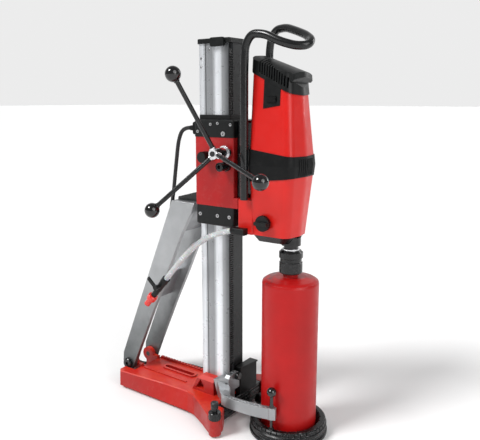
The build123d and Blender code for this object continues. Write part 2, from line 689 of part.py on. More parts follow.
def drive_stub():
    phase = pi / 2 + pi / transfer_teeth
    teeth = cross_gear(transfer_module, transfer_teeth, 10, 0, shaft_x, -45, stub_z(), phase)
    shaft = rod((shaft_x, -72, stub_z()), (0, 1, 0), shaft_radius, 26)
    collar = rod((shaft_x, -68, stub_z()), (0, 1, 0), 14, 68 - carriage_half_width - fit_gap)
    grip = rod((shaft_x, -96, stub_z()), (0, 1, 0), 12, 28)
    grip = chamfer(grip.edges().sort_by(Axis.Y)[0], 1.5)
    socket = Plane(origin=(ahead(shaft_x), -96, stub_z()), z_dir=(0, 1, 0)) * extrude(
        RegularPolygon(6, 6), amount=10)
    return teeth + shaft + collar + grip - socket


def handwheel_hub():
    hub = rod((shaft_x, hub_outer, shaft_z()), (0, 1, 0), hub_radius, -hub_outer - 66)
    hub = chamfer(hub.edges().filter_by(GeomType.CIRCLE), 2)
    hub += rod((shaft_x, -74, shaft_z()), (0, 1, 0), hub_radius + 4, 8)
    hub += rod((shaft_x, -66, shaft_z()), (0, 1, 0), hub_radius - 2, 66 - carriage_half_width - fit_gap)
    for index in range(arm_count):
        hub += rod(*arm_line(index), arm_radius + 2.5, 19)
    hub -= rod((shaft_x, -104, shaft_z()), (0, 1, 0), shaft_radius, 50)
    for index in range(arm_count):
        start, direction = arm_line(index)
        hub -= rod([s + 8 * d for s, d in zip(start, direction)], direction, arm_radius, 30)
    hub -= rod((shaft_x, hub_outer - 1, shaft_z()), (0, 1, 0), 7, 6)
    return hub


def arm_line(index):
    """Start point and direction of one handwheel arm, from the hub's middle to its ball."""
    angle = radians(arm_first_angle + 360 * index / arm_count)
    reach = (ball_reach * cos(angle), ball_y - arm_root_y, ball_reach * sin(angle))
    length = hypot(*reach)
    return (shaft_x, arm_root_y, shaft_z()), [c / length for c in reach]


def handwheel_arms():
    length = hypot(ball_reach, ball_y - arm_root_y)
    arms = []
    for index in range(arm_count):
        start, direction = arm_line(index)
        begin = [s + 8 * d for s, d in zip(start, direction)]
        arms.append(rod(begin, direction, arm_radius, length - 8 - ball_radius + 4))
    bolt = rod((shaft_x, hub_outer - 2, shaft_z()), (0, 1, 0), 6.9, 7)
    return group(arms + [bolt])


def handwheel_balls():
    length = hypot(ball_reach, ball_y - arm_root_y)
    balls = []
    for index in range(arm_count):
        start, direction = arm_line(index)
        x, y, z = [s + length * d for s, d in zip(start, direction)]
        ball = Pos(ahead(x), y, z) * Sphere(ball_radius)
        stub = [s + (length - ball_radius - 1) * d for s, d in zip(start, direction)]
        neck = rod(stub, direction, arm_radius + 2, 6)
        bore = rod([s - 30 * d for s, d in zip(stub, direction)], direction, arm_radius, 30 + 5)
        balls.append(ball + neck - bore)
    return group(balls)


def lock_knob():
    z = carriage_z + 134
    knob = knurled((3, -carriage_half_width - 8, z), (0, -1, 0), 15, 26, 14, 1.6)
    return knob + rod((3, -carriage_half_width - 8, z), (0, 1, 0), 8, 8 - fit_gap)


# ---- Drilling machine

def tool_section(z, grow=0.0):
    """The machine seen from above at height z: flat sides, a flat back and a rounded front."""
    off = abs(z - tool_wide_z)
    side = tool_half_width - tool_side_taper * off + grow
    front = tool_front - tool_front_taper * off + grow
    rear = tool_rear - grow
    crown = front - 10
    outline = Polyline((ahead(rear), -side + 8), (ahead(rear + 8), -side), (ahead(crown), -side + 2),
                       (ahead(front), 0), (ahead(crown), side - 2), (ahead(rear + 8), side),
                       (ahead(rear), side - 8), close=True)
    face = make_face(outline.edges())
    corners = [v for v in face.vertices() if abs(v.X - ahead(crown)) < 0.01]
    face = fillet(corners, tool_corner)
    tip = [v for v in face.vertices() if abs(v.Y) < 0.01 and v.X > 0]
    face = fillet(tip, 60)
    return Pos(0, 0, z) * face


def tool_column(low, high, grow=0.0):
    solids = []
    if low < tool_wide_z:
        solids.append(loft([tool_section(low, grow), tool_section(min(high, tool_wide_z), grow)]))
    if high > tool_wide_z:
        solids.append(loft([tool_section(max(low, tool_wide_z), grow), tool_section(high, grow)]))
    return solids[0] if len(solids) == 1 else solids[0] + solids[1]


def band_low(x):
    return 699 + 0.116 * (x - 154)


def band_high(x):
    return 779 - 0.127 * (x - 154)


def cap_low(x):
    return 972 - 0.48 * (x - tool_rear)


def slab(low_at, high_at):
    """Everything between two sloping planes, given as heights over X."""
    x0, x1 = tool_rear - 40, tool_front + 40
    return plate_y([(x0, low_at(x0)), (x1, low_at(x1)), (x1, high_at(x1)), (x0, high_at(x0))], -110, 110)


def always(height):
    return lambda x: height


def spindle_bore(radius, low, high):
    return rod((drill_offset, 0, low), (0, 0, 1), radius, high - low)


def gear_housing():
    body = tool_column(tool_bottom, 730) & slab(always(tool_bottom), band_low)
    lug = block(99 + fit_gap, tool_rear + 10, -61, 61, tool_bottom, carriage_z + 27)
    body += fillet(lug.edges().filter_by(Axis.Z), 5)
    hollow = tool_column(tool_bottom + 16, 760, -tool_wall)
    body -= hollow
    body -= spindle_bore(spindle_radius + 1, tool_bottom - 1, tool_bottom + 20)
    selector = (selector_x, -tool_half_width - 10, selector_z)
    body -= rod(selector, (0, 1, 0), 6 + running_gap, 60)
    return body


def gearbox_cover():
    top = tool_bottom
    plan = tool_section(tool_bottom, -1.5)
    low = Pos(0, 0, -18) * tool_section(tool_bottom, -12)
    low = Pos(0, 0, tool_bottom - 18 - low.center().Z) * low
    body = loft([low, plan])
    neck = spindle_bore(26, top - 26, top - 4)
    body += neck
    body -= spindle_bore(spindle_radius + running_gap, top - 40, top + 1)
    return body


def motor_band():
    full = tool_column(680, 800, band_proud) & slab(band_low, band_high)
    hollow = tool_column(670, 810, -tool_wall)
    body = full - hollow
    ribs = []
    for step in range(9):
        y = -32 + 8 * step
        ribs.append(block(tool_front - 20, tool_front + 20, y - 1, y + 1, 716, 758))
    front_skin = tool_column(680, 800, band_proud + 1.2) - tool_column(670, 810, band_proud - 0.2)
    for rib in ribs:
        body += rib & front_skin
    return body


def motor_housing():
    body = tool_column(750, 1000) & slab(band_high, cap_low)
    hollow = tool_column(740, 1010, -tool_wall)
    body -= hollow
    gap = fit_gap
    body -= block(switch_rear - gap, switch_front + gap, switch_face_y() - 8, switch_face_y() + switch_travel + gap,
                  switch_low - gap, switch_high + gap)
    return body - switch_stem(gap, 3)


def vent_cap():
    """The black hood over the motor, with a crowned sloping top, air slots and a lip over its front."""
    column = tool_column(880, 1030, cap_proud)
    side = [(tool_rear - 4, cap_low(tool_rear - 4)), (tool_front, cap_low(tool_front)), (250, 945), (266, 962),
            (266, 972), (232, 989), (170, 1014), (152, 1016), (tool_rear - 4, 1012)]
    lip = [(200, 960), (252, 946), (264, 960), (265, 970), (232, 989), (200, 1000)]
    body = column & plate_y(side, -90, 90)
    nose = plate_y(lip, -46, 46)
    slope = 0.36
    roof = Plane(origin=(ahead(tool_rear - 60), 0, 1016 + 60 * slope), x_dir=(0, 1, 0), z_dir=(1, 0, -slope))
    crown = Pos(0, -crown_radius) * Circle(crown_radius)
    body &= roof * extrude(crown, amount=300)
    body += nose & (roof * extrude(crown, amount=300)) & tool_column(880, 1030, 11)
    hollow = tool_column(880, 1030, -tool_wall) & plate_y(
        [(tool_rear, cap_low(tool_rear) - 2), (240, cap_low(240) - 2), (240, 950), (200, 975), (150, 985),
         (tool_rear, 985)], -90, 90)
    body -= hollow
    for step in range(12):
        x = 160 + 7.2 * step
        low = cap_low(x) + 9
        slot = block(x, x + 3.6, -90, 90, low, low + 38 - 1.2 * step)
        body -= slot
    return body


def control_panel():
    face = tool_column(750, 1000, 1.2) - tool_column(740, 1010)
    panel = face & plate_y([(176, 882), (224, 890), (224, cap_low(224)), (176, cap_low(176))], -90, 0)
    hole = block(switch_rear - 1, switch_front + 1, -90, 0, switch_low - 1, switch_high + 1)
    return panel - hole


def switch_face_y():
    return -(tool_half_width - tool_side_taper * (904 - tool_wide_z))


def switch_stem(extra, longer):
    start = ((switch_rear + switch_front) / 2, switch_face_y() - 1, (switch_low + switch_high) / 2)
    return rod(start, (0, 1, 0), switch_stem_radius + extra, tool_wall + 4 + longer)


def power_switch():
    """The switch and its stem, which moves in through the housing's wall."""
    face_y = switch_face_y()
    button = block(switch_rear, switch_front, face_y - 3.5, face_y - fit_gap, switch_low, switch_high)
    return button + switch_stem(0, 0)


def motor_stator():
    return tube((motor_axis_x, 0, 800), (0, 0, 1), 37, 27, 90)


def armature():
    shaft = rod((motor_axis_x, 0, 664), (0, 0, 1), 7, 256)
    rotor = rod((motor_axis_x, 0, 804), (0, 0, 1), 26, 82)
    commutator = rod((motor_axis_x, 0, 760), (0, 0, 1), 17, 30)
    phase = pi / motor_pinion_teeth
    teeth = Pos(ahead(motor_axis_x), 0, gear_z) * gear(drive_module, motor_pinion_teeth, gear_width, 0, phase)
    return shaft + rotor + commutator + teeth


def cooling_fan():
    disc = tube((motor_axis_x, 0, 896), (0, 0, 1), 35, 7, 3)
    for step in range(10):
        blade = Pos(ahead(motor_axis_x), 0, 0) * (Rot(0, 0, 36 * step) * Pos(22, 0, 904) * Box(24, 2, 10))
        disc += blade
    return disc


def spindle():
    nose = spindle_bore(spindle_radius, chuck_top + 4, spindle_shoulder + 20)
    shaft = spindle_bore(15, spindle_shoulder + 19, spindle_top)
    stub = spindle_bore(14, chuck_top - 30, chuck_top + 4)
    return nose + shaft + stub


def spindle_gear():
    return Pos(0, 0, gear_z) * gear(drive_module, spindle_gear_teeth, gear_width, 15, 0.0)


def shaft_bearings():
    bearings = [tube((drill_offset, 0, 576), (0, 0, 1), 22, 15, 16),
                tube((drill_offset, 0, 700), (0, 0, 1), 26, 15, 14),
                tube((motor_axis_x, 0, 740), (0, 0, 1), 18, 7, 12), tube((motor_axis_x, 0, 916), (0, 0, 1), 15, 7, 4)]
    return group(bearings)


def spindle_washer():
    return tube((drill_offset, 0, chuck_top), (0, 0, 1), 23, 14, 4)


def chuck_body():
    profile = [(14, chuck_bottom + 20), (14, chuck_top), (26, chuck_top), (chuck_radius, chuck_top - 6),
               (chuck_radius, chuck_top - 20), (chuck_radius - 3, chuck_top - 22), (chuck_radius - 3, chuck_groove),
               (sleeve_bore - running_gap, chuck_groove), (sleeve_bore - running_gap, chuck_bottom + 1),
               (0, chuck_bottom + 1), (0, chuck_bottom + 20)]
    return turned(profile)


def chuck_sleeve():
    low = chuck_bottom
    high = chuck_groove - fit_gap
    profile = [(sleeve_bore, low + 1), (chuck_radius - 4, low + 1), (chuck_radius - 1, low + 4),
               (chuck_radius - 1, high - 2), (chuck_radius - 3, high), (sleeve_bore, high)]
    body = turned(profile)
    grooves = [Rot(0, 0, 15 * step) * Pos(chuck_radius - 0.5, 0, (low + high) / 2) * Box(2.4, 3, high - low - 10)
               for step in range(24)]
    return body - grooves


def core_tube():
    r = core_radius
    wall = core_wall
    profile = [(r - wall, segment_height - 2), (r, segment_height - 2), (r, core_shoulder - 6), (r - 2, core_shoulder),
               (r - 10, core_shoulder + 5), (r - 34, core_crown), (20, core_crown), (20, chuck_bottom - 1),
               (sleeve_bore - 3, chuck_bottom - 1), (sleeve_bore - 3, chuck_bottom + 1), (0, chuck_bottom + 1),
               (0, core_crown - 14), (r - 12, core_shoulder - 12), (r - wall, core_shoulder - 20)]
    return turned(profile)


def core_segments():
    pieces = []
    ring = tube((drill_offset, 0, 0), (0, 0, 1), segment_radius, core_radius - core_wall - 0.5, segment_height - 2)
    sector = 360 / segment_count
    for step in range(segment_count):
        keep = Rot(0, 0, sector * step) * Pos(core_radius, 0, segment_height / 2) * Box(30, 25, segment_height)
        pieces.append(ring & keep)
    return group(pieces)


def gear_selector():
    off = tool_side_taper * (tool_wide_z - selector_z)
    face_y = -(tool_half_width - off)
    dial = knurled((selector_x, face_y - 3 - fit_gap, selector_z), (0, -1, 0), 21, 12, 20, 1.4)
    grip = Pos(ahead(selector_x), face_y - 18, selector_z) * Box(38, 12, 9)
    stem = rod((selector_x, face_y - 4, selector_z), (0, 1, 0), 6, 22)
    return dial + grip + stem


def handle_tube():
    """A bent steel tube: up behind the machine on the near side, forward over it, round in a loop and back down."""
    route = [(ahead(x), y, z) for x, y, z in handle_route]
    path = FilletPolyline(*route, radius=tangent_radii(route))
    section = Plane(origin=path @ 0, z_dir=path % 0) * Circle(handle_radius)
    return sweep(section, path=path)


def tangent_radii(route):
    """The largest fillets that leave a straight stretch between neighbouring corners of a route."""
    radii = []
    for before, corner, after in zip(route, route[1:], route[2:]):
        a = Vector(*corner) - Vector(*before)
        b = Vector(*after) - Vector(*corner)
        turn = radians(a.get_angle(b))
        radii.append(0.45 * min(a.length, b.length) / tan(turn / 2))
    return radii


# ---- Water and power

def water_inlet():
    y = hose_y
    elbow = block(106, 140, y - 9, y + 13, tool_bottom + 2, tool_bottom + 20)
    elbow = fillet(elbow.edges().filter_by(Axis.X), 4)
    (x0, z0), (x1, z1) = hose_route[:2]
    length = hypot(x1 - x0, z1 - z0)
    direction = ((x1 - x0) / length, 0, (z1 - z0) / length)
    barb = rod(along((x0, y, z0), direction, -12), direction, 10, 12)
    return elbow + barb


def cord_tube(name, route, radius):
    radii = tangent_radii(route)
    path = FilletPolyline(*route, radius=radii)
    section = Plane(origin=path @ 0, z_dir=path % 0) * Circle(radius)
    solid = sweep(section, path=path)
    print(name, "length", round(path.length), "radii", [round(r) for r in radii],
          "volume ratio", round(solid.volume / (pi * radius**2 * path.length), 4))
    return solid


def water_hose():
    return cord_tube("water_hose", [(ahead(x), hose_y, z) for x, z in hose_route], hose_radius)


def hose_end():
    """End point and direction of the water hose."""
    (x0, z0), (x1, z1) = hose_route[-2:]
    length = hypot(x1 - x0, z1 - z0)
    return (x1, hose_y, z1), ((x1 - x0) / length, 0, (z1 - z0) / length)


def along(start, direction, distance):
    return [s + distance * d for s, d in zip(start, direction)]


def valve_body():
    start, direction = hose_end()
    nut = rod(start, direction, 12, 16)
    body = rod(along(start, direction, 16), direction, 10.5, 34)
    bonnet = rod([a + b for a, b in zip(along(start, direction, 33), (0, -19, 0))], (0, 1, 0), 6.5, 19)
    tail = rod(along(start, direction, 50), direction, 9, 30)
    bore = rod(along(start, direction, 16), direction, 5, 80)
    return nut + body + bonnet + tail - bore


def valve_lever():
    start, direction = hose_end()
    pivot = along(start, direction, 33)
    hub = rod((pivot[0], pivot[1] - 19 - fit_gap, pivot[2]), (0, -1, 0), 8, 8)
    across = (direction[2], 0, -direction[0])
    plane = Plane(origin=(ahead(pivot[0]), pivot[1] - 24, pivot[2]), x_dir=across, z_dir=(0, -1, 0))
    return hub + plane * Pos(16, 0, 0) * Box(44, 10, 5)


def hose_coupling():
    start, direction = hose_end()
    ball_start = along(start, direction, 80)
    body = rod(ball_start, direction, 15, 22)
    body = fillet(body.edges().filter_by(GeomType.CIRCLE), 6)
    tail = rod(along(start, direction, 100), direction, 9.5, 24)
    bore = rod(along(start, direction, 76), direction, 5, 60)
    return body + tail - bore


def power_cord():
    return cord_tube("power_cord", [(ahead(x), y, z) for x, y, z in cord_route], cord_radius)


def power_cord_coil():
    half = coil_thickness / 2
    profile = [(coil_mid_radius - half, 0.1), (coil_mid_radius + half, 0.1), (coil_mid_radius + half, coil_height),
               (coil_mid_radius - half, coil_height)]
    return turned(profile, ahead(coil_centre[0]), coil_centre[1])


def power_plug():
    x, y = coil_centre
    z = coil_height + 16
    body = rod((x - 24, y, z), (1, 0, 0), 15.5, 38)
    body = chamfer(body.edges().filter_by(GeomType.CIRCLE), 3)
    pins = [rod((x + 14, y + side * 9.5, z), (1, 0, 0), 2.4, 19) for side in (-1, 1)]
    tail = Plane(origin=(ahead(x - 24), y, z), z_dir=(-1, 0, 0)) * Cone(
        11, 6.5, 26, align=(Align.CENTER, Align.CENTER, Align.MIN))
    return body + pins + tail


def cable_clips():
    clips = []
    for index in clip_stretches:
        start, end = cord_route[index:index + 2]
        x, y, z = [(a + b) / 2 for a, b in zip(start, end)]
        direction = [b - a for a, b in zip(start, end)]
        clip = block(x - 8, x + 14, -brace_outer_y + brace_leg_thickness, y + 8, z - 6, z + 6)
        clips.append(clip - rod(start, direction, cord_radius + fit_gap, hypot(*direction)))
    return group(clips)


pieces = {
    "base_plate": base_plate, "front_crossbar": front_crossbar, "rear_feet": rear_feet,
    "rail": rail, "gear_rack": gear_rack, "rail_end_cap": rail_end_cap, "rail_foot_block": rail_foot_block,
    "collector_holder": collector_holder, "collector_pin": collector_pin, "collector_ring": collector_ring,
    "stand_screws": stand_screws, "brace_legs": brace_legs, "brace_webs": brace_webs, "brace_clamp": brace_clamp,
    "brace_pivot_bolts": brace_pivot_bolts, "cable_clips": cable_clips,
    "carriage_housing": carriage_housing, "carriage_top_cap": carriage_top_cap,
    "carriage_bottom_cap": carriage_bottom_cap, "guide_shoes": guide_shoes, "machine_screws": machine_screws,
    "mount_plate": mount_plate, "cord_gland": cord_gland, "lock_knob": lock_knob,
    "pinion_shaft": pinion_shaft, "transfer_gear": transfer_gear, "drive_stub": drive_stub,
    "handwheel_hub": handwheel_hub, "handwheel_arms": handwheel_arms, "handwheel_balls": handwheel_balls,
    "gear_housing": gear_housing, "gearbox_cover": gearbox_cover, "motor_band": motor_band,
    "motor_housing": motor_housing, "vent_cap": vent_cap, "control_panel": control_panel,
    "power_switch": power_switch, "gear_selector": gear_selector, "handle_tube": handle_tube,
    "motor_stator": motor_stator, "armature": armature, "cooling_fan": cooling_fan,
    "spindle": spindle, "spindle_gear": spindle_gear, "shaft_bearings": shaft_bearings,
    "spindle_washer": spindle_washer, "chuck_body": chuck_body, "chuck_sleeve": chuck_sleeve,
    "core_tube": core_tube, "core_segments": core_segments,
    "water_inlet": water_inlet, "water_hose": water_hose, "valve_body": valve_body, "valve_lever": valve_lever,
    "hose_coupling": hose_coupling, "power_cord": power_cord, "power_cord_coil": power_cord_coil,
    "power_plug": power_plug,
}

for name, make in pieces.items():
    export_step(make(), f"parts/{name}.step")
for name, side in (("level_screw_near", -1), ("level_screw_far", 1)):
    export_step(level_screw(side), f"parts/{name}.step")
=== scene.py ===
import json
import math

import bpy
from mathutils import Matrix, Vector


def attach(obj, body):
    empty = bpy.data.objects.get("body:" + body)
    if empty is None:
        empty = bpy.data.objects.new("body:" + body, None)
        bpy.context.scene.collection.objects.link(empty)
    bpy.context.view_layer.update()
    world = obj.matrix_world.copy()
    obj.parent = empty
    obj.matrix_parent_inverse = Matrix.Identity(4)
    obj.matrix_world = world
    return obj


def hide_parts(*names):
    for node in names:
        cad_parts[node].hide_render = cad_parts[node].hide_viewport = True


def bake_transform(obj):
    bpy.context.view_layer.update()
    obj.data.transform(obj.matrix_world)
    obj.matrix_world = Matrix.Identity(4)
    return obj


# Looks of the core drill rig, in metres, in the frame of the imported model: the drilling axis is the Z axis, the
# floor is Z = 0, the rail stands on -X and the handwheel is on -Y.

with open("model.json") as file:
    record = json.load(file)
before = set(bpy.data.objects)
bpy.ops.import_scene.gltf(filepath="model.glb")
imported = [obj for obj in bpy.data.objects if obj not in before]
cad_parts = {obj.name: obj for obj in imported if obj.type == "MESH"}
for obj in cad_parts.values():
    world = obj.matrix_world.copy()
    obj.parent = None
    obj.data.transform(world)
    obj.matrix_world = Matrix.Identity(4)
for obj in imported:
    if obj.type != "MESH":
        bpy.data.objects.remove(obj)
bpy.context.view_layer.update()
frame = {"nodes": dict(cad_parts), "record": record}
nodes = frame["nodes"]

MM = 0.001
DRILL_OFFSET = 229.0            # rail axis to drilling axis, mm


def at(x, y, z):
    """A point given in millimetres, its X measured from the rail's axis."""
    return Vector(((x - DRILL_OFFSET) * MM, y * MM, z * MM))


# ---- Camera

camera_data = bpy.data.cameras.new("camera")
camera_data.lens = 45.0
camera_data.sensor_width = 36.0
camera = bpy.data.objects.new("camera", camera_data)
camera.location = (0.7874, -1.3251, 0.9046)
camera.rotation_euler = (math.radians(78.64), 0.0, math.radians(35.73))
bpy.context.scene.collection.objects.link(camera)
bpy.context.scene.camera = camera
bpy.context.scene.view_settings.view_transform = "Standard"


# ---- Materials

class Nodes:
    """A material's node tree with short ways to add the nodes used here."""

    def __init__(self, name):
        self.material = bpy.data.materials.new(name)
        self.material.use_nodes = True
        self.tree = self.material.node_tree
        self.shader = self.tree.nodes["Principled BSDF"]

    def link(self, source, target):
        self.tree.links.new(source, target)

    def add(self, kind, **values):
        node = self.tree.nodes.new(kind)
        for name, value in values.items():
            setattr(node, name, value)
        return node

    def feed(self, socket, value):
        """Links another node's output to the socket, or sets the socket to a number or colour."""
        if isinstance(value, bpy.types.NodeSocket):
            self.link(value, socket)
        else:
            socket.default_value = value

    def place(self, stretch=(1, 1, 1)):
        """The piece's own coordinates, stretched along each axis."""
        coordinates = self.add("ShaderNodeTexCoord")
        mapping = self.add("ShaderNodeMapping")
        mapping.inputs["Scale"].default_value = stretch
        self.link(coordinates.outputs["Object"], mapping.inputs["Vector"])
        return mapping.outputs["Vector"]

    def noise(self, scale, detail=3.0, roughness=0.55, stretch=(1, 1, 1)):
        node = self.add("ShaderNodeTexNoise")
        node.inputs["Scale"].default_value = scale
        node.inputs["Detail"].default_value = detail
        node.inputs["Roughness"].default_value = roughness
        self.link(self.place(stretch), node.inputs["Vector"])
        return node.outputs["Fac"]

    def range(self, value, low, high, out_low=0.0, out_high=1.0):
        """The value taken from one range to another, and held at its ends."""
        node = self.add("ShaderNodeMapRange")
        self.feed(node.inputs["Value"], value)
        for socket, number in (("From Min", low), ("From Max", high), ("To Min", out_low), ("To Max", out_high)):
            node.inputs[socket].default_value = number
        return node.outputs["Result"]

    def math(self, operation, a, b=0.0):
        node = self.add("ShaderNodeMath", operation=operation, use_clamp=operation in ("MULTIPLY", "ADD"))
        self.feed(node.inputs[0], a)
        self.feed(node.inputs[1], b)
        return node.outputs[0]

    def mix(self, factor, a, b):
        """Colour a where the factor is 0 and b where it is 1."""
        node = self.add("ShaderNodeMix", data_type="RGBA")
        self.feed(node.inputs["Factor"], factor)
        for socket, value in ((node.inputs[6], a), (node.inputs[7], b)):
            self.feed(socket, value if isinstance(value, bpy.types.NodeSocket) else (*value[:3], 1.0))
        return node.outputs[2]

    def bump(self, height, distance, strength=1.0, normal=None):
        node = self.add("ShaderNodeBump")
        node.inputs["Strength"].default_value = strength
        node.inputs["Distance"].default_value = distance
        self.link(height, node.inputs["Height"])
        if normal is not None:
            self.link(normal, node.inputs["Normal"])
        return node.outputs["Normal"]

    def height(self, axis="Z"):
        """Position in the row frame along one axis, in metres."""
        coordinates = self.add("ShaderNodeTexCoord")
        parts = self.add("ShaderNodeSeparateXYZ")
        self.link(coordinates.outputs["Object"], parts.inputs[0])
        return parts.outputs[axis]

    def edges(self, radius):
        """A mask of the piece's sharp edges."""
        bevel = self.add("ShaderNodeBevel", samples=4)
        bevel.inputs["Radius"].default_value = radius
        geometry = self.add("ShaderNodeNewGeometry")
        dot = self.add("ShaderNodeVectorMath", operation="DOT_PRODUCT")
        self.link(bevel.outputs["Normal"], dot.inputs[0])
        self.link(geometry.outputs["True Normal"], dot.inputs[1])
        return self.range(dot.outputs["Value"], 0.99, 0.86)

    def set(self, name, value):
        self.feed(self.shader.inputs[name], value)


def lighter(color, share):
    return tuple(min(1.0, c * (1 + share)) for c in color)


def darker(color, share):
    return tuple(c * (1 - share) for c in color)


def surface(name, color, rough, metallic=0.0, coat=0.0, grain=None, mottle=0.12, mottle_scale=14.0, edge_wear_and_highlight=None,
            streak=None, rough_spread=0.08, round_edge=0.0008, dust=0.0, gloss=0.5):
    """A material with mottled colour, a fine grain, uneven gloss, rounded edges, a coloured edge mask, and settled
    dust. The edge colour shows bare metal on some finishes and is a painted highlight on others.

    grain is (scale, distance), wear is (colour, share) for the edge colour, streak is (stretch, share)."""
    n = Nodes(name)
    cloud = n.noise(mottle_scale, 4.0)
    tint = n.mix(n.range(cloud, 0.3, 0.7), darker(color, mottle), lighter(color, mottle * 0.6))
    roughness = n.range(n.noise(mottle_scale * 3.2, 5.0), 0.3, 0.7, rough - rough_spread, rough + rough_spread)
    normal = None
    if round_edge:
        bevel = n.add("ShaderNodeBevel", samples=4)
        bevel.inputs["Radius"].default_value = round_edge
        normal = bevel.outputs["Normal"]
    if streak:
        stretch, share = streak
        lines = n.noise(1.0, 4.0, 0.7, stretch)
        tint = n.mix(n.range(lines, 0.35, 0.65), darker(color, share), tint)
        roughness = n.math("ADD", roughness, n.range(lines, 0.3, 0.7, 0.0, 0.12))
        normal = n.bump(lines, 0.00004, 1.0, normal)
    if grain:
        scale, distance = grain
        normal = n.bump(n.noise(scale, 2.0), distance, 1.0, normal)
    if dust:
        grey = n.range(n.noise(60.0, 6.0, 0.7), 0.52, 0.75, 0.0, dust)
        tint = n.mix(grey, tint, (0.36, 0.34, 0.32))
    # Edge colour: bare metal showing through on some finishes, a painted highlight on others
    if edge_wear_and_highlight:
        edge_wear_and_highlight_color, share = edge_wear_and_highlight
        worn_and_highlit_edges = n.math("MULTIPLY", n.edges(0.0012), n.range(n.noise(130.0, 6.0, 0.7), 0.46, 0.62, 0.0, share))
        tint = n.mix(worn_and_highlit_edges, tint, edge_wear_and_highlight_color)
    n.set("Base Color", tint)
    n.set("Roughness", roughness)
    n.set("Metallic", metallic)
    n.set("Coat Weight", coat)
    n.set("Coat Roughness", 0.12)
    n.set("Specular IOR Level", gloss)
    if normal is not None:
        n.set("Normal", normal)
    return n


BARE = (0.42, 0.42, 0.43)
finish = {
    # Painted highlight: the orange laid on the casting's edges stands for light caught by its chamfers
    "red_casting": surface("red_casting", (0.36, 0.007, 0.005), 0.42, coat=0.15, grain=(900, 0.00006),
                           edge_wear_and_highlight=((0.75, 0.16, 0.06), 0.7), dust=0.10, gloss=0.35),
    "red_carriage": surface("red_carriage", (0.39, 0.005, 0.006), 0.45, coat=0.1, grain=(1100, 0.00005),
                            edge_wear_and_highlight=((0.6, 0.12, 0.1), 0.5), dust=0.07, gloss=0.35),
    "red_housing": surface("red_housing", (0.60, 0.010, 0.006), 0.36, coat=0.12, grain=(2200, 0.00002),
                           mottle=0.06, gloss=0.35),
    "red_plastic": surface("red_plastic", (0.70, 0.02, 0.012), 0.22, coat=0.5, grain=(1500, 0.00001)),
    "aluminium_extrusion": surface("aluminium_extrusion", (0.50, 0.51, 0.53), 0.27, metallic=1.0,
                                   streak=((900, 900, 4), 0.16), mottle=0.06),
    "aluminium_cast": surface("aluminium_cast", (0.30, 0.31, 0.32), 0.42, metallic=0.9, grain=(1400, 0.00006),
                              mottle=0.14, edge_wear_and_highlight=((0.8, 0.8, 0.82), 0.6)),
    "holder_silver": surface("holder_silver", (0.34, 0.35, 0.36), 0.36, metallic=0.8, grain=(1600, 0.00005),
                             edge_wear_and_highlight=((0.85, 0.85, 0.87), 0.6)),
    "black_plastic": surface("black_plastic", (0.004, 0.0048, 0.005), 0.38, grain=(2600, 0.00004), mottle=0.2,
                             dust=0.015, gloss=0.3),
    "black_rubber": surface("black_rubber", (0.003, 0.0033, 0.0036), 0.5, grain=(1800, 0.00006), mottle=0.25,
                            dust=0.02, gloss=0.2),
    # Painted highlight: the light grey laid on the ring's edges stands for the glints on its ribbed lip
    "ring_rubber": surface("ring_rubber", (0.003, 0.0033, 0.0036), 0.34, grain=(1800, 0.00006), mottle=0.25,
                           edge_wear_and_highlight=((0.55, 0.56, 0.58), 0.8), gloss=0.3),
    "black_metal": surface("black_metal", (0.004, 0.0045, 0.005), 0.26, coat=0.3, grain=(1300, 0.00003),
                           edge_wear_and_highlight=(BARE, 0.35), gloss=0.35),
    "ball_plastic": surface("ball_plastic", (0.002, 0.002, 0.0025), 0.10, coat=0.5, grain=(600, 0.000006),
                            rough_spread=0.03, round_edge=0),
    "steel": surface("steel", (0.52, 0.52, 0.53), 0.32, metallic=1.0, grain=(1700, 0.00002),
                     edge_wear_and_highlight=((0.9, 0.9, 0.9), 0.5)),
    "chrome_steel": surface("chrome_steel", (0.78, 0.78, 0.80), 0.18, metallic=1.0, grain=(900, 0.00001),
                            rough_spread=0.06),
    "copper_winding": surface("copper_winding", (0.55, 0.25, 0.12), 0.35, metallic=1.0,
                              streak=((30, 30, 900), 0.5)),
    "cord_rubber": surface("cord_rubber", (0.008, 0.008, 0.009), 0.48, grain=(1500, 0.00003), round_edge=0),
    "diamond_segment": surface("diamond_segment", (0.16, 0.155, 0.15), 0.7, metallic=0.5, grain=(2600, 0.0002)),
}


def core_finish():
    """Satin red lacquer with sideways rubbing marks and a dark scuffed patch on the shoulder."""
    n = surface("red_tube", (0.40, 0.005, 0.005), 0.40, coat=0.12, grain=(1400, 0.00003), mottle=0.10,
                edge_wear_and_highlight=(BARE, 0.8), gloss=0.25)
    tint = n.shader.inputs["Base Color"].links[0].from_socket
    rubs = n.noise(1.0, 5.0, 0.7, (14, 14, 260))
    band = n.range(n.height(), 0.018, 0.0, 0.0, 0.75)
    foot = n.math("MULTIPLY", band, n.range(n.noise(90, 5.0, 0.7), 0.4, 0.6))
    tint = n.mix(n.range(rubs, 0.60, 0.80, 0.0, 0.35), tint, (0.22, 0.010, 0.012))
    tint = n.mix(foot, tint, (0.10, 0.09, 0.09))
    shoulder = n.math("MULTIPLY", n.range(n.height(), 0.418, 0.436), n.range(n.height("X"), 0.01, -0.05))
    scuff = n.math("MULTIPLY", shoulder, n.range(n.noise(70, 6.0, 0.75), 0.44, 0.58, 0.0, 0.85))
    tint = n.mix(scuff, tint, (0.03, 0.022, 0.024))
    n.set("Base Color", tint)
    return n


# Painted reflections on the rail's sides, tone from its rear edge (0) to its front edge (1): painted bright on the
# lands and painted dull in the flutes
RAIL_REFLECTION_BANDS = [(0.14, 0.80), (0.19, 0.74), (0.205, 0.10), (0.225, 0.12), (0.25, 0.34), (0.46, 0.30), (0.52, 0.72),
              (0.60, 0.95), (0.72, 0.80), (0.82, 0.34), (0.90, 0.20)]


